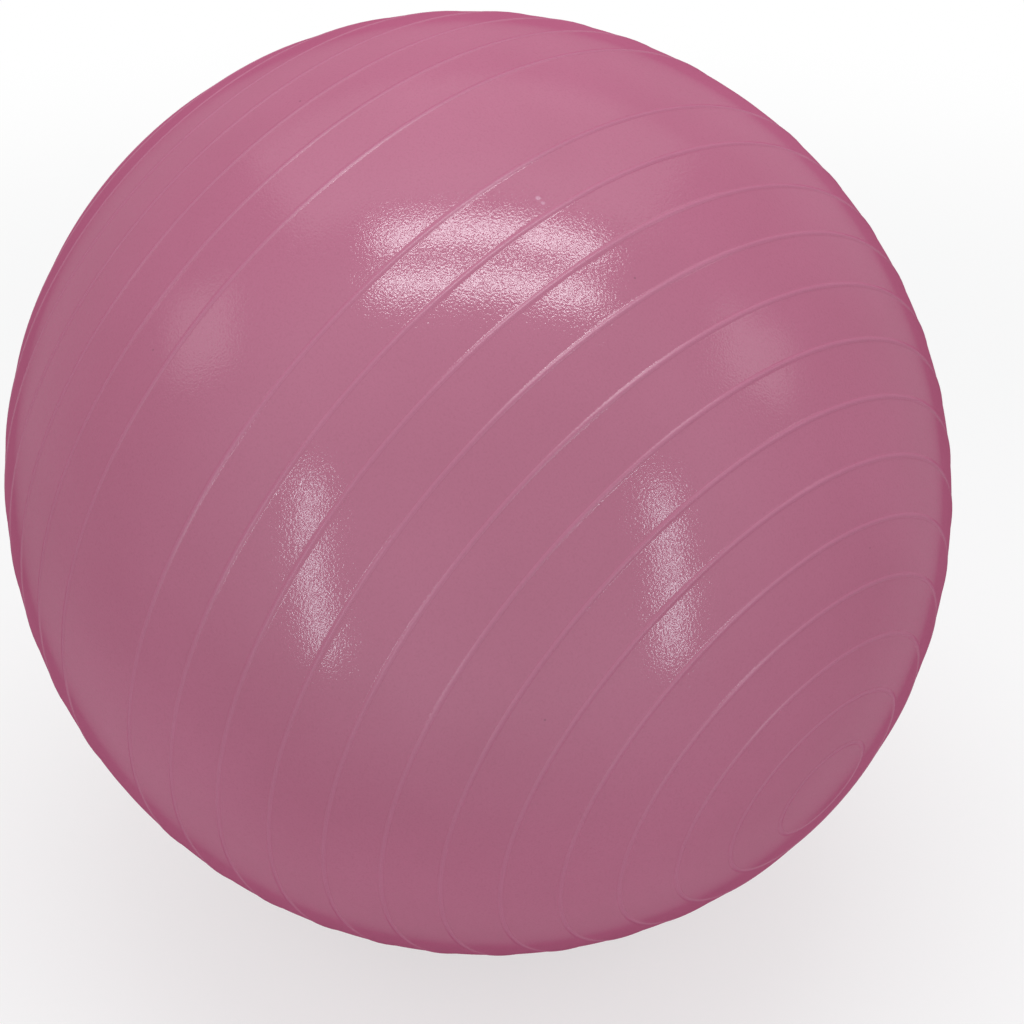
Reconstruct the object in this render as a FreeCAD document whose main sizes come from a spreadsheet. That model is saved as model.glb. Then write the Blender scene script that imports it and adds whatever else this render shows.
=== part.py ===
import FreeCAD, Part

import math
import os

import Sketcher

# An inflated exercise ball that stands on the floor on its own small flat.
#
# Frame: +Z up, origin in the middle of the flat, so the floor is Z = 0. The ball's ribs are
# rings about one line, the rib axis, which lies in the XZ plane and dips towards +X.
# Nodes: ball_shell, the hollow ribbed skin; valve_seat, the thick disc and neck welded into
# the skin on the +Y side; valve_plug, the stopper that pulls out of the neck along +Y.

doc = FreeCAD.newDocument("exercise_ball")

# Driving sizes in millimetres, and angles in degrees.
SIZES = [
    ("belt_radius", 368.0, "radius of the smooth belt, about the rib axis"),
    ("belt_bow", 18.4, "how far past the rib axis the belt's arc has its centre"),
    ("cap_angle", 66.0, "turn from the belt's middle where the belt's arc hands over to the cap's"),
    ("wall", 0.75, "thickness of the inflated skin"),
    ("rib_rows", 13, "ribs on each side of the belt"),
    ("rib_width", 4.6, "width of a rib's round where it meets the smooth form"),
    ("rib_rise", 1.5, "height of a rib over the skin"),
    ("rib_foot", 1.0, "radius of the hollow along both sides of a rib"),
    ("axis_dip", 16.16, "angle of the rib axis below the horizontal on the +X side"),
    ("floor_dent", 2.2, "how far the ball's weight flattens it against the floor"),
    ("pad_radius", 13.0, "radius of the disc around the valve's mouth"),
    ("pad_thick", 2.6, "thickness of that disc"),
    ("pad_proud", 0.5, "height of the disc over the skin, at the valve's axis"),
    ("pad_edge", 0.4, "radius on the disc's outer edge"),
    ("neck_radius", 7.0, "outer radius of the neck inside the ball"),
    ("neck_reach", 15.0, "depth of the neck's end below the skin"),
    ("neck_root", 1.2, "radius between the neck and the disc"),
    ("bore_radius", 4.25, "radius of the hole through the neck"),
    ("recess", 0.8, "depth of the recess that takes the plug's head"),
    ("head_radius", 8.0, "radius of the plug's head"),
    ("head_thick", 2.1, "thickness of the plug's head"),
    ("head_edge", 0.7, "radius on the edge of the plug's head"),
    ("head_play", 0.4, "gap all round between the head and its recess"),
    ("stem_reach", 17.0, "length of the plug's stem under its head"),
    ("stem_roof", 3.0, "solid length of the stem under the head, over its hollow"),
    ("stem_wall", 1.3, "wall of the hollow stem"),
    ("barb_play", 0.05, "gap all round between the stem's barbs and the bore"),
    ("barb_rise", 0.5, "height of a barb over the stem"),
    ("barb_rows", 3, "barbs on the stem"),
    ("barb_first", 3.2, "distance from the head to the first barb"),
    ("barb_pitch", 4.2, "distance from one barb to the next"),
    ("barb_land", 0.6, "straight length of a barb"),
    ("barb_taper", 1.8, "sloping length of a barb"),
]

sheet = doc.addObject("Spreadsheet::Sheet", "sizes")
for row, (alias, value, meaning) in enumerate(SIZES, start=1):
    sheet.set(f"A{row}", meaning)
    sheet.set(f"B{row}", str(value))
    sheet.setAlias(f"B{row}", alias)
doc.recompute()

# Sizes that follow from the driving ones, as expressions on the sheet's cells.
BELT_ARC = "(sizes.belt_radius + sizes.belt_bow)"
CAP_REACH = "(sizes.belt_bow * tan(sizes.cap_angle))"
CAP_ARC = f"({BELT_ARC} - sizes.belt_bow / cos(sizes.cap_angle))"
CENTRE_X = "(-sizes.belt_bow * sin(sizes.axis_dip))"
CENTRE_Z = f"({BELT_ARC} - sizes.belt_bow * cos(sizes.axis_dip) - sizes.floor_dent)"
RIB_STEP = "(90 / (sizes.rib_rows + 1))"
RIB_ROUND = "((sizes.rib_width^2 / 4 + sizes.rib_rise^2) / (2 * sizes.rib_rise))"
SEAT_FLOOR = "(sizes.pad_proud - sizes.recess)"
RECESS_RADIUS = "(sizes.head_radius + sizes.head_play)"
BARB_RADIUS = "(sizes.bore_radius - sizes.barb_play)"
STEM_RADIUS = f"({BARB_RADIUS} - sizes.barb_rise)"

ACROSS = -1  # a sketch's horizontal axis, whose point 1 is the sketch's origin
UPRIGHT = -2  # its upright axis
START, END, CENTRE = 1, 2, 3  # the points of an arc or a line
FLAT = FreeCAD.Vector(0, 0, 1)  # the normal of a sketch's own plane
X_WAY = FreeCAD.Vector(1, 0, 0)
Y_WAY = FreeCAD.Vector(0, 1, 0)
Z_TO_Y = FreeCAD.Rotation(X_WAY, -90)  # turns a body's Z axis to the valve's way out, +Y


def value(expression):
    """The number that an expression on the sheet comes to."""
    return float(sheet.evalExpression(expression))


def new_body(label):
    """A body whose label names what it is."""
    body = doc.addObject("PartDesign::Body", label)
    body.Label = label
    return body


class Drawing:
    """A sketch on a body's own XZ plane, where across is X and up is Z. Its constraints are
    gathered first and added together, so that the sketch is solved once."""

    def __init__(self, body, name):
        plane = next(f for f in body.Origin.OriginFeatures if f.Role == "XZ_Plane")
        self.sketch = body.newObject("Sketcher::SketchObject", name)
        self.sketch.AttachmentSupport = [(plane, "")]
        self.sketch.MapMode = "FlatFace"
        self.constraints = []
        self.bound = []

    def add(self, shape):
        """Adds a line or an arc, and returns its number."""
        return self.sketch.addGeometry(shape)

    def tie(self, kind, *references):
        """Gathers a constraint that has no size."""
        self.constraints.append(Sketcher.Constraint(kind, *references))

    def bind(self, kind, references, name, expression):
        """Gathers a named dimension that is bound to an expression."""
        self.bound.append((len(self.constraints), name, expression))
        self.constraints.append(Sketcher.Constraint(kind, *references, value(expression)))

    def place(self, element, point, name, along, up):
        """Binds a point's two distances from the sketch's origin, each an expression."""
        for kind, axis, letter, expression in (
            ("DistanceX", UPRIGHT, "x", along),
            ("DistanceY", ACROSS, "y", up),
        ):
            origin, there = (ACROSS, START), (element, point)
            if abs(value(expression)) < 1e-6:
                self.tie("PointOnObject", element, point, axis)
            elif value(expression) > 0:
                self.bind(kind, (*origin, *there), f"{name}_{letter}", expression)
            else:
                self.bind(kind, (*there, *origin), f"{name}_{letter}", f"-({expression})")

    def finish(self):
        """Adds the gathered constraints and binds the named ones."""
        self.sketch.addConstraint(self.constraints)
        for index, name, expression in self.bound:
            self.sketch.renameConstraint(index, name)
            self.sketch.setExpression(f"Constraints.{name}", expression)
        return self.sketch


def revolve(body, sketch, axis):
    """Turns the sketch's closed outline fully round one of the sketch's axes."""
    turn = body.newObject("PartDesign::Revolution", f"{body.Label}_turned")
    turn.Profile = sketch
    turn.ReferenceAxis = (sketch, [axis])
    turn.Angle = 360.0
    sketch.Visibility = False
    doc.recompute()
    return turn


def turned_from_corners(label, corners):
    """A body turned about its Z axis from straight lines through corners, each a pair of
    expressions: the distance from the axis and the height."""
    body = new_body(label)
    drawing = Drawing(body, f"{label}_outline")
    points = [FreeCAD.Vector(value(out), value(up), 0) for out, up in corners]
    lines = [drawing.add(Part.LineSegment(a, b)) for a, b in zip(points, points[1:] + points[:1])]
    for line, after in zip(lines, lines[1:] + lines[:1]):
        drawing.tie("Coincident", line, END, after, START)
    for number, (line, (out, up)) in enumerate(zip(lines, corners), start=1):
        drawing.place(line, START, f"corner_{number}", out, up)
    revolve(body, drawing.finish(), "V_Axis")
    return body


def round_edges(body, name, radius_alias, rings):
    """A fillet on circular edges of the body's last feature, each given by its radius and its
    height on the body's Z axis."""
    base = body.Tip
    names = []
    for number, edge in enumerate(base.Shape.Edges, start=1):
        curve = edge.Curve
        if isinstance(curve, Part.Circle) and any(
            abs(curve.Radius - radius) < 0.001 and abs(curve.Center.z - high) < 0.001
            for radius, high in rings
        ):
            names.append(f"Edge{number}")
    rounded = body.newObject("PartDesign::Fillet", name)
    rounded.Base = (base, names)
    rounded.setExpression("Radius", f"sizes.{radius_alias}")
    doc.recompute()
    return rounded


# The smooth form is the same on both sides of the belt's middle. Half of its outline is a
# belt arc, whose centre lies belt_bow past the rib axis, and a cap arc, whose centre lies on
# that axis, and the one runs on into the other. Latitude is the angle at the ball's centre
# from the belt's middle towards the pole.
CAP, BELT = 0, 1


class SmoothForm:
    """Where the arcs of the smooth form lie, to place a sketch's arcs before they are tied."""

    def __init__(self, inset):
        bow, turn = value("sizes.belt_bow"), math.radians(value("sizes.cap_angle"))
        belt_arc, cap_arc = value(BELT_ARC) - inset, value(CAP_ARC) - inset
        join = (belt_arc * math.sin(turn), belt_arc * math.cos(turn) - bow)
        self.centres = [FreeCAD.Vector(value(CAP_REACH), 0, 0), FreeCAD.Vector(0, -bow, 0)]
        self.radii = [cap_arc, belt_arc]
        self.join = FreeCAD.Vector(*join, 0)
        self.join_latitude = math.degrees(math.atan2(*join))
        self.pole = FreeCAD.Vector(value(CAP_REACH) + cap_arc, 0, 0)
        self.top = FreeCAD.Vector(0, belt_arc - bow, 0)

    def base(self, latitude):
        """Which arc holds this latitude."""
        return BELT if latitude < self.join_latitude else CAP


def rib_distance(latitude):
    """The distance from the ball's centre to the centre of a rib's round, as an expression.
    The smooth form's own distance is the root of a quadratic on each of its arcs, and the
    round's centre lies under it by what the round needs to rise rib_rise above it."""
    bow, reach = "sizes.belt_bow", CAP_REACH
    on_belt = f"(sqrt({BELT_ARC}^2 - ({bow} * sin({latitude}))^2) - {bow} * cos({latitude}))"
    on_cap = f"(sqrt({CAP_ARC}^2 - ({reach} * cos({latitude}))^2) + {reach} * sin({latitude}))"
    form = on_belt if SmoothForm(0).base(value(latitude)) == BELT else on_cap
    return f"({form} + sizes.rib_rise - {RIB_ROUND})"


def crossing(a, a_radius, b, b_radius, side):
    """Where two circles cross, to the left (side 1) or right (side -1) of the way from a to b."""
    way = b - a
    along = (way.Length**2 + a_radius**2 - b_radius**2) / (2 * way.Length)
    aside = side * math.sqrt(a_radius**2 - along**2)
    way.normalize()
    return a + way * along + FreeCAD.Vector(-way.y, way.x, 0) * aside


class Outline:
    """Half of the ball's outline, from its +X pole up to the belt's middle: an unbroken run of
    arcs, each tied to the one before it so that it leaves in the same direction."""

    def __init__(self, drawing, inset_expression):
        self.drawing = drawing
        self.inset = inset_expression
        self.form = SmoothForm(value(inset_expression))
        self.first_on = {}  # the first arc on each base arc, which the others there follow
        self.first_of = {}  # the first of each kind of arc in a rib
        self.start = None
        self.last = None
        self.at = self.form.pole
        self.on = CAP

    def add(self, centre, radius, to, hollow=False):
        """Adds one arc from where the outline is to a point, and ties it to what is there. An
        arc runs to the left from its start to its end, so a hollow one is laid backwards."""
        ends = (to, self.at) if hollow else (self.at, to)
        turns = [math.atan2((p - centre).y, (p - centre).x) for p in ends]
        index = self.drawing.add(Part.ArcOfCircle(Part.Circle(centre, FLAT, radius), *turns))
        near, far = (END, START) if hollow else (START, END)
        if self.last:
            self.drawing.tie("Tangent", *self.last, index, near)
        else:
            self.start = (index, near)
            self.drawing.tie("PointOnObject", index, near, ACROSS)
        self.last = (index, far)
        self.at = to
        return index

    def follow_form(self, to, base):
        """Follows the smooth form to a point on one of its two base arcs."""
        if self.on != base:
            self.add_on_form(self.form.join)
            self.on = base
        self.add_on_form(to)

    def add_on_form(self, to):
        """Adds an arc on a base arc. The first one there gets the base arc's sizes, and the
        others share its centre and radius."""
        index = self.add(self.form.centres[self.on], self.form.radii[self.on], to)
        drawing = self.drawing
        if self.on in self.first_on:
            drawing.tie("Coincident", index, CENTRE, self.first_on[self.on], CENTRE)
            drawing.tie("Equal", self.first_on[self.on], index)
            return
        self.first_on[self.on] = index
        if self.on == BELT:
            drawing.place(index, CENTRE, "belt_centre", "0", "-sizes.belt_bow")
            drawing.bind("Radius", (index,), "belt_arc", f"{BELT_ARC} - {self.inset}")
        else:
            drawing.place(index, CENTRE, "cap_centre", CAP_REACH, "0")

    def add_rib(self, row):
        """A rib: a hollow out of the smooth form, the rib's round, and a hollow back."""
        latitude = f"({RIB_STEP} * {row})"
        along = f"{rib_distance(latitude)} * sin({latitude})"
        out = f"{rib_distance(latitude)} * cos({latitude})"
        middle = FreeCAD.Vector(value(along), value(out), 0)
        rib_round, foot = value(RIB_ROUND), value("sizes.rib_foot")
        edge = math.degrees(value("sizes.rib_width") / 2 / middle.Length)
        feet = []
        for side in (-1, 1):
            base = self.form.base(value(latitude) - side * edge)
            centre, radius = self.form.centres[base], self.form.radii[base]
            hub = crossing(centre, radius + foot, middle, rib_round + foot, side)
            on_form = centre + (hub - centre) * (radius / (radius + foot))
            on_round = middle + (hub - middle) * (rib_round / (rib_round + foot))
            feet.append((base, hub, on_form, on_round))
        (base, hub, on_form, on_round), (base_after, hub_after, form_after, round_after) = feet
        self.follow_form(on_form, base)
        self.tie_radius("rib_foot", "sizes.rib_foot", self.add(hub, foot, on_round, hollow=True))
        crest = self.add(middle, rib_round, round_after)
        self.tie_radius("rib_round", RIB_ROUND, crest)
        self.drawing.place(crest, CENTRE, f"rib_{row}", along, out)
        after = self.add(hub_after, foot, form_after, hollow=True)
        self.tie_radius("rib_foot", "sizes.rib_foot", after)
        self.on = base_after

    def tie_radius(self, kind, expression, index):
        """Binds the radius of the first arc of a kind, and ties the others' to that one."""
        if kind in self.first_of:
            self.drawing.tie("Equal", self.first_of[kind], index)
        else:
            self.first_of[kind] = index
            self.drawing.bind("Radius", (index,), kind, expression)

    def close(self):
        """Runs on to the belt's middle, down to the ball's centre and out to the pole."""
        drawing = self.drawing
        self.follow_form(self.form.top, BELT)
        drawing.tie("PointOnObject", *self.last, UPRIGHT)
        down = drawing.add(Part.LineSegment(self.form.top, FreeCAD.Vector()))
        along = drawing.add(Part.LineSegment(FreeCAD.Vector(), self.form.pole))
        drawing.tie("Coincident", down, START, *self.last)
        drawing.tie("Coincident", down, END, ACROSS, START)
        drawing.tie("Coincident", along, START, ACROSS, START)
        drawing.tie("Coincident", along, END, *self.start)


def ball_form(label, inset_expression, rows):
    """A solid of the ball's form, set at its height and dip: one half is turned about the rib
    axis, and the other is its mirror image. rows is the number of ribs on each half."""
    body = new_body(label)
    drawing = Drawing(body, f"{label}_outline")
    outline = Outline(drawing, inset_expression)
    for row in range(rows, 0, -1):
        outline.add_rib(row)
    outline.close()
    half = revolve(body, drawing.finish(), "H_Axis")
    mirrored = body.newObject("PartDesign::Mirrored", f"{label}_mirrored")
    mirrored.Originals = [half]
    middle = next(f for f in body.Origin.OriginFeatures if f.Role == "YZ_Plane")
    mirrored.MirrorPlane = (middle, [""])
    body.Tip = mirrored
    body.Placement = FreeCAD.Placement(FreeCAD.Vector(), FreeCAD.Rotation(Y_WAY, 1))
    body.setExpression("Placement.Base.x", CENTRE_X)
    body.setExpression("Placement.Base.z", CENTRE_Z)
    body.setExpression("Placement.Rotation.Angle", "sizes.axis_dip")
    return body


def slab_below(label, top_expression):
    """A slab wider than the ball, with its top face at the given height."""
    slab = doc.addObject("Part::Box", label)
    side = "(3 * sizes.belt_radius)"
    for name in ("Length", "Width", "Height"):
        slab.setExpression(name, side)
    slab.setExpression("Placement.Base.x", f"-{side} / 2")
    slab.setExpression("Placement.Base.y", f"-{side} / 2")
    slab.setExpression("Placement.Base.z", f"{top_expression} - {side}")
    return slab


def cut(label, base, tool):
    """One solid less another."""
    less = doc.addObject("Part::Cut", label)
    less.Label = label
    less.Base, less.Tool = base, tool
    return less


def set_on_valve_axis(thing, out):
    """Turns an object's Z axis to the valve's, with its Z = 0 at a distance out along it."""
    thing.Placement = FreeCAD.Placement(FreeCAD.Vector(), Z_TO_Y)
    thing.setExpression("Placement.Base.x", CENTRE_X)
    thing.setExpression("Placement.Base.y", out)
    thing.setExpression("Placement.Base.z", CENTRE_Z)


def ball_shell():
    """The skin: the ribbed form cut flat at the floor, less the cavity, which is cut flat one
    wall higher, less the round hole that the valve's disc fills."""
    ribbed_form = ball_form("ribbed_form", "0", int(value("sizes.rib_rows")))
    cavity_form = ball_form("cavity_form", "sizes.wall", 0)
    outside = cut("outside", ribbed_form, slab_below("floor", "0"))
    cavity = cut("cavity", cavity_form, slab_below("cavity_floor", "sizes.wall"))
    skin = cut("skin", outside, cavity)
    hole = doc.addObject("Part::Cylinder", "valve_hole")
    hole.setExpression("Radius", "sizes.pad_radius")
    hole.setExpression("Height", "sizes.belt_radius")
    set_on_valve_axis(hole, "sizes.belt_radius / 2")
    return cut("ball_shell", skin, hole)


def valve_seat():
    """The disc that fills the hole in the skin, with the recess for the plug's head, and the
    neck that reaches into the ball."""
    under = "(sizes.pad_proud - sizes.pad_thick)"
    seat = turned_from_corners("valve_seat", [
        ("sizes.bore_radius", "-sizes.neck_reach"),
        ("sizes.neck_radius", "-sizes.neck_reach"),
        ("sizes.neck_radius", under),
        ("sizes.pad_radius", under),
        ("sizes.pad_radius", "sizes.pad_proud"),
        (RECESS_RADIUS, "sizes.pad_proud"),
        (RECESS_RADIUS, SEAT_FLOOR),
        ("sizes.bore_radius", SEAT_FLOOR),
    ])
    rim = (value("sizes.pad_radius"), value("sizes.pad_proud"))
    root = (value("sizes.neck_radius"), value(under))
    round_edges(seat, "pad_edge_round", "pad_edge", [rim])
    round_edges(seat, "neck_root_round", "neck_root", [root])
    set_on_valve_axis(seat, "sizes.belt_radius")
    return seat


def valve_plug():
    """The stopper: a flat head in the recess, and a hollow stem whose barbs fill the bore."""
    tip = f"({SEAT_FLOOR} - sizes.stem_reach)"
    roof = f"({SEAT_FLOOR} - sizes.stem_roof)"
    top = f"({SEAT_FLOOR} + sizes.head_thick)"
    hollow = f"({STEM_RADIUS} - sizes.stem_wall)"
    corners = [("0", roof), (hollow, roof), (hollow, tip), (STEM_RADIUS, tip)]
    for row in reversed(range(int(value("sizes.barb_rows")))):
        shoulder = f"({SEAT_FLOOR} - sizes.barb_first - {row} * sizes.barb_pitch)"
        corners += [
            (STEM_RADIUS, f"({shoulder} - sizes.barb_land - sizes.barb_taper)"),
            (BARB_RADIUS, f"({shoulder} - sizes.barb_land)"),
            (BARB_RADIUS, shoulder),
            (STEM_RADIUS, shoulder),
        ]
    corners += [
        (STEM_RADIUS, SEAT_FLOOR),
        ("sizes.head_radius", SEAT_FLOOR),
        ("sizes.head_radius", top),
        ("0", top),
    ]
    plug = turned_from_corners("valve_plug", corners)
    rim = (value("sizes.head_radius"), value(top))
    round_edges(plug, "head_edge_round", "head_edge", [rim])
    set_on_valve_axis(plug, "sizes.belt_radius")
    return plug


nodes = [ball_shell(), valve_seat(), valve_plug()]
doc.recompute()

for thing in doc.Objects:
    if "Invalid" in thing.State or "Error" in thing.State:
        raise RuntimeError(f"{thing.Label} failed: {thing.State}")
for node in nodes:
    if node.Shape.isNull() or not node.Shape.isValid() or len(node.Shape.Solids) != 1:
        raise RuntimeError(f"{node.Label} is not one valid solid")

os.makedirs("parts", exist_ok=True)
for node in nodes:
    node.Shape.exportStep(f"parts/{node.Label}.step")
    print(f"{node.Label}: {node.Shape.Volume / 1000:.2f} cm3")
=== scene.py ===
import math

import bpy
import numpy as np
from mathutils import Matrix, Vector


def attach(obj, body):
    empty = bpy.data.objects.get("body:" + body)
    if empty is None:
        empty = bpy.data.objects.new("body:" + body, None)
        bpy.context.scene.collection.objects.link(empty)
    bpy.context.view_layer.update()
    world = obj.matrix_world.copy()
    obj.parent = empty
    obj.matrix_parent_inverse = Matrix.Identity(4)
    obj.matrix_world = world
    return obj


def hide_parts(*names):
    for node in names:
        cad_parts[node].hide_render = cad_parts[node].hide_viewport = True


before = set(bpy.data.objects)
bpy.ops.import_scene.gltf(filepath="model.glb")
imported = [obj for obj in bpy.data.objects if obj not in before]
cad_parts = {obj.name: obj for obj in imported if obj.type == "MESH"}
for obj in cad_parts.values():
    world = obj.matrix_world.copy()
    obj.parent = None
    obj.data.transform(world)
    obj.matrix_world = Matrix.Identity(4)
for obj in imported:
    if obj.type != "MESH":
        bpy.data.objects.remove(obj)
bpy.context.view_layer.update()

# An inflated exercise ball on a pale floor. Everything is in metres, with +Z up and the origin in
# the middle of the flat that the ball rests on. The ball's ribs run round one line, the rib axis.
# A latitude is the angle at the ball's centre from the belt's middle towards the +X pole, and a
# turn is the angle about the rib axis from the air valve, which is on the +Y side.

# The ball's form
BELT_RADIUS = 0.368
BELT_BOW = 0.0184
CAP_ANGLE = math.radians(66.0)
AXIS_DIP = math.radians(16.16)
FLOOR_DENT = 0.0022
WALL = 0.00075

RIB_AXIS = np.array([math.cos(AXIS_DIP), 0.0, -math.sin(AXIS_DIP)])
VALVE_WAY = np.array([0.0, 1.0, 0.0])
UP_WAY = np.array([math.sin(AXIS_DIP), 0.0, math.cos(AXIS_DIP)])
BELT_ARC = BELT_RADIUS + BELT_BOW
CENTRE = np.array([
    -BELT_BOW * math.sin(AXIS_DIP),
    0.0,
    BELT_ARC - BELT_BOW * math.cos(AXIS_DIP) - FLOOR_DENT,
])

# The ribs on the ball
RIBS_A_SIDE = 13
RIB_STEP = math.radians(90.0) / (RIBS_A_SIDE + 1)
RIB_RISE = 0.0007
RIB_HALF_WIDTH = 0.0027

# The hole for the valve's disc, and the window in the skin's grid around it. The shares say how
# far each row of the patch in that window has gone over from its edge to the round hole.
HOLE_RADIUS = 0.013
HOLE_WINDOW = 0.024
HOLE_CELLS = 12
PATCH_SHARES = (0.3, 0.6, 0.85, 1.0)
PATCH_ROUNDS = 4

# The grid's steps round the ball, which are finer at the floor
TURN_STEP = math.radians(2.4)
FLOOR_TURN = math.radians(270.0)
FLOOR_REACH = math.radians(8.0)
FLOOR_STEP = math.radians(1.0)

# The grid's rows along the ball. Over a rib they lie at these shares of its half width, and
# between two ribs they fill a stretch whose start and length are shares of the ribs' step.
RIB_SAMPLES = (0.17, 0.34, 0.5, 0.66, 0.84, 1.0, 1.3)
ROWS_BETWEEN_RIBS = 3
BETWEEN_START = 0.12
BETWEEN_LENGTH = 0.76
BELT_ROW_GAP = RIB_STEP / 8
INNER_ROWS = 20
INNER_END = math.radians(87.0)

SHARP_ANGLE = math.radians(40.0)
ROUNDING = 1e-6

# The photograph's view: pixels of a picture 1024 wide and high
PICTURE = 1024.0
CAMERA_TURN = math.radians(46.36)
CAMERA_RISE = math.radians(30.0)
CAMERA_DISTANCE = 1.7325
FOCAL_PIXELS = 2150.0
SENSOR = 36.0
VIEW_REACH = 100.0
BALL_PIXEL = (477.8, 482.7)

# How a pixel's line is brought to the ball's form: rounds, the share of the gap that each one
# closes, and the small step over which the form's slope is taken
SIGHT_ROUNDS = 60
SIGHT_SHARE = 0.7
SLOPE_STEP = 0.0005

# The marks on the ball in that view: the pixel and the size of each dark speck and pale scuff
SPECKS = (
    ((300, 101), 0.0012),
    ((153, 350), 0.0009),
    ((635, 278), 0.0010),
    ((545, 720), 0.0010),
    ((870, 548), 0.0008),
)
SCUFFS = (
    ((538, 198), 0.0022),
    ((543, 203), 0.0018),
)

# The ball's vinyl: its colours, the share that each one takes, the clouds in it at so many to the
# metre, the depth of its grain, and its roughness. A span is the stretch of a cloud's values, or
# of the way up a rib, over which the finish changes. The gloss falls over its own span, in which
# 0 is a face turned to the eye and 1 is the outline.
DEEPER_PINK = (0.412, 0.103, 0.190, 1.0)
PALER_PINK = (0.442, 0.117, 0.211, 1.0)
# Painted shade: the grain's low spots are darkened towards this pink
PIT_SHADE_PINK = (0.300, 0.062, 0.122, 1.0)
SPECK_COLOUR = (0.120, 0.035, 0.060, 1.0)
SCUFF_COLOUR = (0.640, 0.360, 0.480, 1.0)
# Painted sheen: the ribs are lightened towards this paler, greyer pink, in place of the light that
# they mirror
RIB_SHEEN_PINK = (0.480, 0.190, 0.300, 1.0)
PIT_SHADE_SHARE = 0.3
PIT_SHADE_SPAN = (0.3, 0.5)
SPECK_SHARE = 0.45
# How much painted sheen the ribs take, and the way up a rib over which it grows
RIB_SHEEN_SHARE = 0.18
RIB_SHEEN_SPAN = (0.1, 0.9)
DRIFT_CLOUDS = 5.0
DRIFT_SPAN = (0.35, 0.65)
GRAIN_CLOUDS = 620.0
FLECK_CLOUDS = 1500.0
GRAIN_DEPTH = 0.000135
ROUGHNESS_ONTO_RIB = (0.10, 0.34)
RIB_ROUGHNESS_SPAN = (0.02, 0.4)
GLOSS = 0.8
GLOSS_POWER = 2.0
GLOSS_SPAN = (0.12, 0.82)

# The span of a cloud over which the roughness of the two small pieces changes
CLOUD_SPAN = (0.3, 0.7)

# The valve seat's vinyl
SEAT_DEEPER = (0.36, 0.080, 0.150, 1.0)
SEAT_PALER = (0.43, 0.110, 0.190, 1.0)
SEAT_CLOUDS = 60.0
SEAT_ROUGHNESS = (0.28, 0.4)
SEAT_GRAIN_CLOUDS = 900.0
SEAT_GRAIN_DEPTH = 0.00003

# The air plug's plastic
PLUG_DEEPER = (0.72, 0.72, 0.70, 1.0)
PLUG_PALER = (0.82, 0.82, 0.80, 1.0)
PLUG_CLOUDS = 90.0
PLUG_ROUGHNESS = (0.38, 0.5)
PLUG_GRAIN_CLOUDS = 700.0
PLUG_GRAIN_DEPTH = 0.00002
PLUG_SUBSURFACE = 0.15
PLUG_SUBSURFACE_REACH = (0.002, 0.002, 0.0018)

# The lamps, by name: the pixel that the ball mirrors each one at, the two half sides of its patch
# there, in pixels, and its brightness and tint
LAMP_DISTANCE = 1.8
NO_TINT = (1.0, 1.0, 1.0)
OVERHEAD = (6.0, (0.90, 0.97, 1.00))
STRIP = (4.8, (0.80, 0.95, 1.00))
CEILING = (0.55, NO_TINT)
PANEL = (0.7, NO_TINT)
LAMPS = {
    "overhead_back": ((490, 230), (116, 7), (0, 11), *OVERHEAD),
    "overhead_front": ((488, 281), (112, 6), (0, 9), *OVERHEAD),
    "left_strip": ((311, 567), (8, 92), (6, 0), *STRIP),
    "right_strip": ((672, 575), (7, 90), (6, 0), *STRIP),
    "pale_ceiling": ((470, 130), (240, 0), (0, 60), *CEILING),
    "left_panel": ((200, 330), (0, 42), (28, 0), *PANEL),
    "right_panel": ((758, 355), (0, 36), (32, 0), *PANEL),
}

# The surround and the floor, which fades to plain white between two distances from the origin
WHITE = (1.0, 1.0, 1.0, 1.0)
TENT_LIGHT = 0.63
FLOOR_COLOUR = (0.95, 0.95, 0.95, 1.0)
FLOOR_SHOWN = (0.36, 0.36, 0.36, 1.0)
FLOOR_GLOW = 0.62
FLOOR_SIDE = 60.0
FADE_START = 0.9
FADE_END = 2.4


def smooth_radius(latitude):
    """Distance from the ball's centre to its smooth form. The belt's arc has its centre BELT_BOW
    past the rib axis, and the cap's arc has its centre on that axis, where the two run into each
    other at CAP_ANGLE. Each distance is the far root of its own circle's equation."""
    reach = BELT_BOW * math.tan(CAP_ANGLE)
    cap_arc = BELT_ARC - BELT_BOW / math.cos(CAP_ANGLE)
    join = math.atan2(BELT_ARC * math.sin(CAP_ANGLE), BELT_ARC * math.cos(CAP_ANGLE) - BELT_BOW)
    along = np.abs(np.sin(latitude))
    out = np.cos(latitude)
    on_belt = np.sqrt(BELT_ARC**2 - (BELT_BOW * along) ** 2) - BELT_BOW * out
    on_cap = np.sqrt(cap_arc**2 - (reach * out) ** 2) + reach * along
    return np.where(np.abs(latitude) < join, on_belt, on_cap)


def rib_height(latitude):
    """Height of the ribs over the smooth form. A rib's section is one wave of a cosine, from
    foot to foot, RIB_RISE high."""
    row = np.clip(np.round(np.abs(latitude) / RIB_STEP), 1, RIBS_A_SIDE)
    aside = np.abs(np.abs(latitude) - row * RIB_STEP) * smooth_radius(latitude)
    wave = np.minimum(aside / RIB_HALF_WIDTH, 1.0)
    return RIB_RISE * (1 + np.cos(math.pi * wave)) / 2


def on_ball(latitude, turn, distance):
    """Points at a distance from the ball's centre: the sine of the latitude along the rib axis,
    and its cosine across it, shared between the valve's way and the upward one by the turn."""
    across = np.cos(turn)[..., None] * VALVE_WAY + np.sin(turn)[..., None] * UP_WAY
    way = np.sin(latitude)[..., None] * RIB_AXIS + np.cos(latitude)[..., None] * across
    return CENTRE + distance[..., None] * way


def steps(start, end, longest):
    """Evenly spaced values from start up to, but not including, end."""
    count = math.ceil((end - start) / longest - ROUNDING)
    return np.linspace(start, end, count + 1)[:-1]


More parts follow.
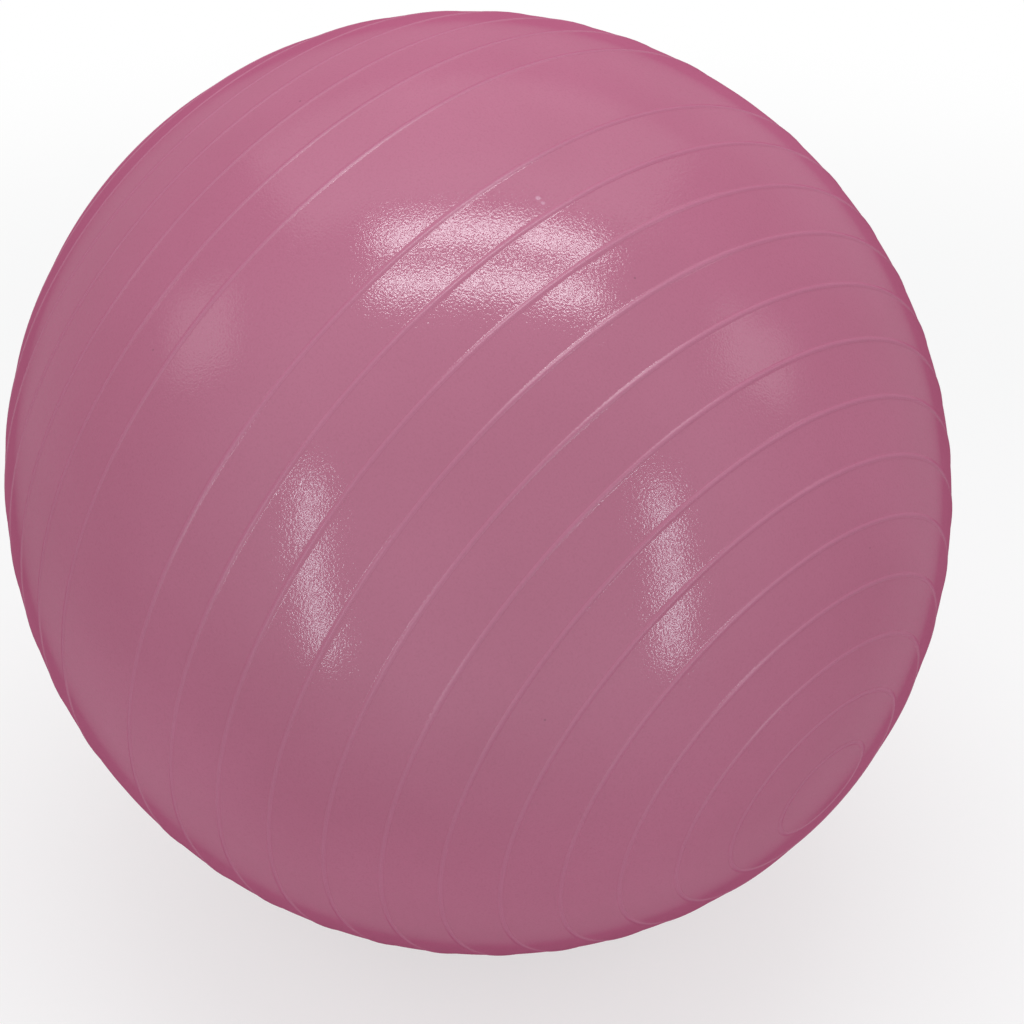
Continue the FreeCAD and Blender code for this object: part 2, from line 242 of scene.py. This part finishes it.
def grid_turns():
    """The turns of the grid's columns: close together at the valve and at the floor."""
    window = HOLE_WINDOW / BELT_RADIUS
    return np.concatenate([
        steps(-window, window, 2 * window / HOLE_CELLS),
        steps(window, FLOOR_TURN - FLOOR_REACH, TURN_STEP),
        steps(FLOOR_TURN - FLOOR_REACH, FLOOR_TURN + FLOOR_REACH, FLOOR_STEP),
        steps(FLOOR_TURN + FLOOR_REACH, 2 * math.pi - window, TURN_STEP),
    ])


def belt_latitudes():
    """The latitudes of the rows in the stretch that the valve's hole is in."""
    window = HOLE_WINDOW / BELT_RADIUS
    return np.linspace(-window, window, HOLE_CELLS + 1)


def outer_latitudes():
    """The latitudes of the outer skin's rows: many over each rib and a few between two ribs."""
    ribs = np.arange(1, RIBS_A_SIDE + 1) * RIB_STEP
    samples = np.array(RIB_SAMPLES) * RIB_HALF_WIDTH
    offsets = np.concatenate([-samples, [0.0], samples])
    over_ribs = (ribs[:, None] + offsets / smooth_radius(ribs)[:, None]).ravel()
    share = np.arange(1, ROWS_BETWEEN_RIBS + 1) / (ROWS_BETWEEN_RIBS + 1)
    between = (ribs[:, None] + RIB_STEP * (BETWEEN_START + BETWEEN_LENGTH * share)).ravel()
    belt = belt_latitudes()
    half = np.concatenate([[belt[-1] + BELT_ROW_GAP], over_ribs, between])
    return np.sort(np.concatenate([-half, belt, half]))


def inner_latitudes():
    """The latitudes of the inner skin's rows. It has no ribs."""
    half = np.linspace(RIB_STEP, INNER_END, INNER_ROWS)
    return np.concatenate([-half[::-1], belt_latitudes(), half])


def patch_point(aside, along, inset):
    """The point of the form that lies at these two distances from the valve's axis. The latitude
    whose sine times the form's radius is the second distance comes from a few rounds."""
    latitude = along / BELT_RADIUS
    for _ in range(PATCH_ROUNDS):
        latitude = np.arcsin(along / (smooth_radius(latitude) - inset))
    radius = smooth_radius(latitude) - inset
    turn = np.arcsin(aside / (radius * np.cos(latitude)))
    return on_ball(latitude, turn, radius)


def skin_sheet(latitudes, heights, inset, floor):
    """One face of the skin: a grid of rows and turns, each point at the smooth form's distance
    plus its row's height, less the inset, and none below the floor. The grid's window at the
    valve is left out, and rows that go over from the window's edge to the hole's circle fill
    it up to the hole. Returns the points, the faces and the points round the hole."""
    turns = grid_turns()
    rows, columns = len(latitudes), len(turns)
    lat, turn = np.meshgrid(latitudes, turns, indexing="ij")
    distance = smooth_radius(lat) + heights[:, None] - inset
    points = on_ball(lat, turn, distance).reshape(-1, 3)
    ids = np.arange(rows * columns).reshape(rows, columns)
    window = HOLE_WINDOW / BELT_RADIUS + ROUNDING
    window_rows = np.abs(latitudes) < window
    window_columns = np.abs(turns) < window

    # Quads of the grid, each from its own row and column to the next, less the window's
    onward = np.roll(ids, -1, axis=1)
    quads = np.stack([ids[:-1], onward[:-1], onward[1:], ids[1:]], axis=-1)
    in_window = (window_rows[:-1] & window_rows[1:])[:, None] & window_columns[None, :]
    faces = quads[~in_window].tolist()

    # The poles, each a fan on its nearest row
    ends = np.array([-math.pi / 2, math.pi / 2])
    poles = on_ball(ends, np.zeros(2), smooth_radius(ends) - inset)
    south, north = rows * columns, rows * columns + 1
    faces += [[south, b, a] for a, b in zip(ids[0], onward[0])]
    faces += [[north, a, b] for a, b in zip(ids[-1], onward[-1])]

    # The edge of the window and of the next column on, in order round the valve's axis
    edge_rows = np.flatnonzero(window_rows)
    edge_columns = np.flatnonzero(window_columns)
    edge_columns = np.append(edge_columns, edge_columns[-1] + 1)
    block = ids[np.ix_(edge_rows, edge_columns)]
    edge = np.concatenate([block[0], block[1:, -1], block[-1, :-1], block[1:-1, 0]])
    away = points[edge] - CENTRE
    aside = away @ UP_WAY
    along = away @ RIB_AXIS
    angle = np.arctan2(along, aside)
    order = np.argsort(angle)
    rim, aside, along, angle = edge[order], aside[order], along[order], angle[order]

    # Rows from that edge to the circle
    patch = []
    count = len(rim)
    first = rows * columns + len(ends)
    for number, share in enumerate(PATCH_SHARES):
        across = (1 - share) * aside + share * HOLE_RADIUS * np.cos(angle)
        upward = (1 - share) * along + share * HOLE_RADIUS * np.sin(angle)
        patch.append(patch_point(across, upward, inset))
        after = first + number * count + np.arange(count)
        faces += np.stack([rim, np.roll(rim, -1), np.roll(after, -1), after], axis=-1).tolist()
        rim = after
    points = np.concatenate([points, poles, *patch])
    points[:, 2] = np.maximum(points[:, 2], floor)
    return points, faces, rim


def new_piece(name, points, faces, body):
    """An object whose mesh holds these points and faces, smooth but for its sharp edges."""
    mesh = bpy.data.meshes.new(name)
    mesh.from_pydata(points.tolist(), [], faces)
    mesh.update()
    mesh.polygons.foreach_set("use_smooth", np.ones(len(mesh.polygons), bool))
    mesh.set_sharp_from_angle(angle=SHARP_ANGLE)
    piece = bpy.data.objects.new(name, mesh)
    bpy.context.scene.collection.objects.link(piece)
    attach(piece, body)
    return piece


def ribbed_skin():
    """The ball's hollow skin: the ribbed outer face, the smooth inner one a wall further in and
    turned to the air, and the band round the valve's hole that joins them. Each point's value
    named rib says how far up a rib it is, from 0 beside it to 1 on its crest."""
    latitudes = outer_latitudes()
    outer, outer_faces, outer_hole = skin_sheet(latitudes, rib_height(latitudes), 0.0, 0.0)
    smooth = inner_latitudes()
    inner, inner_faces, inner_hole = skin_sheet(smooth, np.zeros(len(smooth)), WALL, WALL)
    inner_hole = inner_hole + len(outer)
    faces = outer_faces + [[p + len(outer) for p in reversed(face)] for face in inner_faces]
    band = [outer_hole, np.roll(outer_hole, -1), np.roll(inner_hole, -1), inner_hole]
    faces += np.stack(band, axis=-1).tolist()
    piece = new_piece("ribbed_skin", np.concatenate([outer, inner]), faces, "ball")
    away = outer - CENTRE
    latitude = np.arcsin(away @ RIB_AXIS / np.linalg.norm(away, axis=1))
    up_rib = np.concatenate([rib_height(latitude) / RIB_RISE, np.zeros(len(inner))])
    piece.data.attributes.new("rib", "FLOAT", "POINT").data.foreach_set("value", up_rib)
    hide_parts("ball_shell")
    piece.data.materials.append(pearly_vinyl())


class Finish:
    """A node material whose surface is one Principled shader."""

    def __init__(self, name):
        self.material = bpy.data.materials.new(name)
        self.material.use_nodes = True
        self.tree = self.material.node_tree
        self.shader = self.tree.nodes["Principled BSDF"]
        self.coordinates = self.add("ShaderNodeTexCoord").outputs["Object"]

    def add(self, kind, settings=(), **sockets):
        """Adds a node. A socket is given a value, or another node's output to be joined to."""
        node = self.tree.nodes.new(kind)
        for name, value in dict(settings).items():
            setattr(node, name, value)
        for name, value in sockets.items():
            self.put(node, name, value)
        return node

    def put(self, node, name, value):
        """Sets or joins one socket, by its number, as in in_3, or by its name, as in
        Base_Color."""
        key = int(name[3:]) if name.startswith("in_") else name.replace("_", " ")
        socket = node.inputs[key]
        if isinstance(value, bpy.types.NodeSocket):
            self.tree.links.new(value, socket)
        else:
            socket.default_value = value

    def noise(self, scale, detail=2.0):
        """Cloudy values about a half, at so many to the metre."""
        node = self.add("ShaderNodeTexNoise", Vector=self.coordinates, Scale=scale, Detail=detail)
        return node.outputs["Fac"]

    def ranged(self, value, span, onto):
        """A value whose span is mapped onto another span, and held at its ends."""
        node = self.add("ShaderNodeMapRange", in_0=value, in_1=span[0], in_2=span[1],
                        in_3=onto[0], in_4=onto[1])
        return node.outputs["Result"]

    def maths(self, operation, *values):
        """Arithmetic on two values."""
        node = self.add("ShaderNodeMath", {"operation": operation})
        for number, value in enumerate(values):
            self.put(node, f"in_{number}", value)
        return node.outputs[0]

    def blend(self, share, one, other):
        """A colour that goes from one to the other."""
        node = self.add("ShaderNodeMix", {"data_type": "RGBA"}, in_0=share, in_6=one, in_7=other)
        return node.outputs[2]

    def spots(self, marks):
        """1 well inside any of these marks, each a ball of its size about a point, 0 outside."""
        cover = 0.0
        for pixel, size in marks:
            away = self.add("ShaderNodeVectorMath", {"operation": "DISTANCE"},
                            in_0=self.coordinates, in_1=mirrored(pixel)[0])
            inside = self.ranged(away.outputs["Value"], (size / 2, size), (1.0, 0.0))
            cover = self.maths("MAXIMUM", inside, cover)
        return cover

    def up_rib(self):
        """The skin's own value named rib, which ribbed_skin gives it."""
        return self.add("ShaderNodeAttribute", {"attribute_name": "rib"}).outputs["Fac"]

    def facing(self):
        """0 where the surface faces the eye, and 1 at its outline."""
        return self.add("ShaderNodeLayerWeight", Blend=0.5).outputs["Facing"]

    def bump(self, height, depth):
        """A normal that tilts as the height does, where a height of 1 is so many metres."""
        node = self.add("ShaderNodeBump", Height=height, Distance=depth, Strength=1.0)
        return node.outputs["Normal"]


def pearly_vinyl():
    """The ball's skin: pink vinyl with a pebbled grain as fine as leather's, painted shade in the
    grain's pits, a slow drift of tone, and a few specks and scuffs. Its ribs are duller than the
    rest and carry a painted sheen, a paler pink towards their crests, and its gloss falls off
    towards the outline."""
    finish = Finish("pearly_pink_vinyl")
    grain = finish.noise(GRAIN_CLOUDS, detail=1.0)
    drift = finish.noise(DRIFT_CLOUDS, detail=3.0)
    fleck = finish.noise(FLECK_CLOUDS, detail=1.0)
    shade = finish.blend(finish.ranged(drift, DRIFT_SPAN, (0.0, 1.0)), DEEPER_PINK, PALER_PINK)
    # Painted shade in the grain's pits, broken up by fine flecks
    pit_shade = finish.ranged(grain, PIT_SHADE_SPAN, (PIT_SHADE_SHARE, 0.0))
    shade = finish.blend(finish.maths("MULTIPLY", pit_shade, fleck), shade, PIT_SHADE_PINK)
    specks = finish.maths("MULTIPLY", finish.spots(SPECKS), SPECK_SHARE)
    shade = finish.blend(specks, shade, SPECK_COLOUR)
    scuffs = finish.maths("MULTIPLY", finish.spots(SCUFFS), fleck)
    shade = finish.blend(scuffs, shade, SCUFF_COLOUR)
    up_rib = finish.up_rib()
    # Painted sheen on the ribs, strongest at their crests
    rib_sheen = finish.ranged(up_rib, RIB_SHEEN_SPAN, (0.0, RIB_SHEEN_SHARE))
    shade = finish.blend(rib_sheen, shade, RIB_SHEEN_PINK)
    roughness = finish.ranged(up_rib, RIB_ROUGHNESS_SPAN, ROUGHNESS_ONTO_RIB)
    to_edge = finish.ranged(finish.facing(), GLOSS_SPAN, (1.0, 0.0))
    gloss = finish.maths("MULTIPLY", finish.maths("POWER", to_edge, GLOSS_POWER), GLOSS)
    finish.put(finish.shader, "Base_Color", shade)
    finish.put(finish.shader, "Roughness", roughness)
    finish.put(finish.shader, "Specular_IOR_Level", gloss)
    finish.put(finish.shader, "Normal", finish.bump(grain, GRAIN_DEPTH))
    return finish.material


def valve_vinyl():
    """The valve's seat: the same vinyl, smoother and a little deeper in colour."""
    finish = Finish("smooth_pink_vinyl")
    cloud = finish.noise(SEAT_CLOUDS, detail=3.0)
    grain = finish.noise(SEAT_GRAIN_CLOUDS)
    finish.put(finish.shader, "Base_Color", finish.blend(cloud, SEAT_DEEPER, SEAT_PALER))
    finish.put(finish.shader, "Roughness", finish.ranged(cloud, CLOUD_SPAN, SEAT_ROUGHNESS))
    finish.put(finish.shader, "Normal", finish.bump(grain, SEAT_GRAIN_DEPTH))
    return finish.material


def plug_plastic():
    """The air plug: white polyethylene with a satin face and faint flow marks."""
    finish = Finish("white_polyethylene")
    cloud = finish.noise(PLUG_CLOUDS, detail=4.0)
    grain = finish.noise(PLUG_GRAIN_CLOUDS)
    finish.put(finish.shader, "Base_Color", finish.blend(cloud, PLUG_DEEPER, PLUG_PALER))
    finish.put(finish.shader, "Roughness", finish.ranged(cloud, CLOUD_SPAN, PLUG_ROUGHNESS))
    finish.put(finish.shader, "Normal", finish.bump(grain, PLUG_GRAIN_DEPTH))
    finish.put(finish.shader, "Subsurface_Weight", PLUG_SUBSURFACE)
    finish.put(finish.shader, "Subsurface_Radius", PLUG_SUBSURFACE_REACH)
    return finish.material


def dress(node, material):
    """Gives a carried-over node its finish, in place of the one that it came with."""
    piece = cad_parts[node]
    piece.data.materials.clear()
    piece.data.materials.append(material)


# The camera's own ways, and what a pixel of its picture sees
CAMERA_BACK = np.array([
    math.sin(CAMERA_TURN) * math.cos(CAMERA_RISE),
    -math.cos(CAMERA_TURN) * math.cos(CAMERA_RISE),
    math.sin(CAMERA_RISE),
])
CAMERA_RIGHT = np.array([math.cos(CAMERA_TURN), math.sin(CAMERA_TURN), 0.0])
CAMERA_UP = np.cross(CAMERA_BACK, CAMERA_RIGHT)


def pixel_way(pixel):
    """The way from the camera through a pixel, of length 1."""
    right = (pixel[0] - PICTURE / 2) / FOCAL_PIXELS
    up = (PICTURE / 2 - pixel[1]) / FOCAL_PIXELS
    way = right * CAMERA_RIGHT + up * CAMERA_UP - CAMERA_BACK
    return way / np.linalg.norm(way)


BALL_WAY = pixel_way(BALL_PIXEL)
CAMERA_PLACE = CENTRE + BALL_WAY * (CAMERA_DISTANCE / (BALL_WAY @ CAMERA_BACK))


def add_camera():
    """The camera at the photograph's view."""
    camera = bpy.data.cameras.new("camera")
    camera.sensor_width = SENSOR
    camera.lens = FOCAL_PIXELS * SENSOR / PICTURE
    camera.clip_end = VIEW_REACH
    thing = bpy.data.objects.new("camera", camera)
    thing.location = CAMERA_PLACE
    thing.rotation_mode = "QUATERNION"
    thing.rotation_quaternion = Vector(-CAMERA_BACK).to_track_quat("-Z", "Y")
    bpy.context.scene.collection.objects.link(thing)
    bpy.context.scene.camera = thing


def above_form(point):
    """How far a point lies outside the ball's smooth form, along the line to its centre."""
    away = point - CENTRE
    distance = np.linalg.norm(away)
    return distance - float(smooth_radius(np.arcsin(away @ RIB_AXIS / distance)))


def mirrored(pixel):
    """Where a pixel's line meets the smooth form, and the way that the form mirrors it to. The
    form's outward way there is the slope of the distance above it, taken over small steps."""
    way = pixel_way(pixel)
    point = CAMERA_PLACE + way * (CAMERA_DISTANCE - BELT_RADIUS)
    for _ in range(SIGHT_ROUNDS):
        point = point + way * above_form(point) * SIGHT_SHARE
    small_steps = SLOPE_STEP * np.eye(3)
    out = np.array([above_form(point + step) - above_form(point - step) for step in small_steps])
    out = out / np.linalg.norm(out)
    return point, way - 2 * (way @ out) * out


def softbox(name, pixel, long_half, short_half, brightness, tint):
    """A soft lamp that the ball mirrors at a pixel, over a patch of the picture that reaches
    from there by two half sides, in pixels. The lamp's own sides are where the mirrored lines
    of the patch's edges meet its plane. A lamp is as bright as its energy over four times its
    area."""
    point, way = mirrored(pixel)
    place = point + way * LAMP_DISTANCE
    sides = []
    for half in (long_half, short_half):
        ends = []
        for sign in (-1, 1):
            edge_point, edge_way = mirrored((pixel[0] + sign * half[0], pixel[1] + sign * half[1]))
            run = ((place - edge_point) @ way) / (edge_way @ way)
            ends.append(edge_point + edge_way * run)
        sides.append(ends[1] - ends[0])
    lamp = bpy.data.lights.new(name, "AREA")
    lamp.shape = "RECTANGLE"
    lamp.size = float(np.linalg.norm(sides[0]))
    lamp.size_y = float(np.linalg.norm(sides[1]))
    lamp.energy = brightness * 4 * lamp.size * lamp.size_y
    lamp.color = tint
    along = sides[0] / lamp.size
    turned = Matrix(np.stack([along, np.cross(way, along), way], axis=1))
    thing = bpy.data.objects.new(name, lamp)
    thing.location = place
    thing.rotation_mode = "QUATERNION"
    thing.rotation_quaternion = turned.to_quaternion()
    thing.visible_camera = False
    bpy.context.scene.collection.objects.link(thing)


def seen_share(tree):
    """1 for the camera's rays and for the mirrored and transmitted ones, and 0 for the rest."""
    path = tree.nodes.new("ShaderNodeLightPath")
    total = path.outputs["Is Camera Ray"]
    for name in ("Is Glossy Ray", "Is Transmission Ray"):
        both = tree.nodes.new("ShaderNodeMath")
        both.operation = "MAXIMUM"
        tree.links.new(total, both.inputs[0])
        tree.links.new(path.outputs[name], both.inputs[1])
        total = both.outputs[0]
    return total


def pale_world():
    """A white surround that lights the ball evenly, and is plain white where it is seen."""
    world = bpy.data.worlds.new("pale_surround")
    bpy.context.scene.world = world
    world.use_nodes = True
    tree = world.node_tree
    tree.nodes.clear()
    tent = tree.nodes.new("ShaderNodeBackground")
    tent.inputs["Strength"].default_value = TENT_LIGHT
    white = tree.nodes.new("ShaderNodeBackground")
    for background in (tent, white):
        background.inputs["Color"].default_value = WHITE
    mix = tree.nodes.new("ShaderNodeMixShader")
    output = tree.nodes.new("ShaderNodeOutputWorld")
    tree.links.new(seen_share(tree), mix.inputs[0])
    tree.links.new(tent.outputs[0], mix.inputs[1])
    tree.links.new(white.outputs[0], mix.inputs[2])
    tree.links.new(mix.outputs[0], output.inputs["Surface"])


def floor_finish():
    """A pale floor. Where it is seen, it is white with the ball's soft shadow on it, and it
    fades to plain white away from the ball."""
    finish = Finish("pale_floor")
    tree = finish.tree
    tree.nodes.remove(finish.shader)
    plain = finish.add("ShaderNodeBsdfDiffuse", Color=FLOOR_COLOUR)
    shown = finish.add("ShaderNodeBsdfDiffuse", Color=FLOOR_SHOWN)
    glow = finish.add("ShaderNodeEmission", Color=WHITE, Strength=FLOOR_GLOW)
    near = finish.add("ShaderNodeAddShader")
    tree.links.new(shown.outputs[0], near.inputs[0])
    tree.links.new(glow.outputs[0], near.inputs[1])
    white = finish.add("ShaderNodeEmission", Color=WHITE, Strength=1.0)
    distance = finish.add("ShaderNodeVectorMath", {"operation": "LENGTH"},
                          in_0=finish.coordinates).outputs["Value"]
    fade = finish.add("ShaderNodeMapRange", {"interpolation_type": "SMOOTHSTEP"},
                      in_0=distance, in_1=FADE_START, in_2=FADE_END).outputs["Result"]
    seen = finish.add("ShaderNodeMixShader", in_0=fade)
    tree.links.new(near.outputs[0], seen.inputs[1])
    tree.links.new(white.outputs[0], seen.inputs[2])
    mix = finish.add("ShaderNodeMixShader", in_0=seen_share(tree))
    tree.links.new(plain.outputs[0], mix.inputs[1])
    tree.links.new(seen.outputs[0], mix.inputs[2])
    tree.links.new(mix.outputs[0], tree.nodes["Material Output"].inputs["Surface"])
    return finish.material


def add_floor():
    """The floor, a plain square at the height that the ball rests on."""
    half = FLOOR_SIDE / 2
    mesh = bpy.data.meshes.new("floor")
    corners = [(-half, -half, 0.0), (half, -half, 0.0), (half, half, 0.0), (-half, half, 0.0)]
    mesh.from_pydata(corners, [], [(0, 1, 2, 3)])
    floor = bpy.data.objects.new("floor", mesh)
    bpy.context.scene.collection.objects.link(floor)
    mesh.materials.append(floor_finish())


def add_light():
    """A twin softbox overhead, a pale ceiling behind it, a narrow strip and a dim panel on each
    side, and the even light of the surround."""
    for name, settings in LAMPS.items():
        softbox(name, *settings)
    pale_world()


add_camera()
ribbed_skin()
dress("valve_seat", valve_vinyl())
dress("valve_plug", plug_plastic())
add_floor()
add_light()
bpy.context.scene.view_settings.view_transform = "Standard"
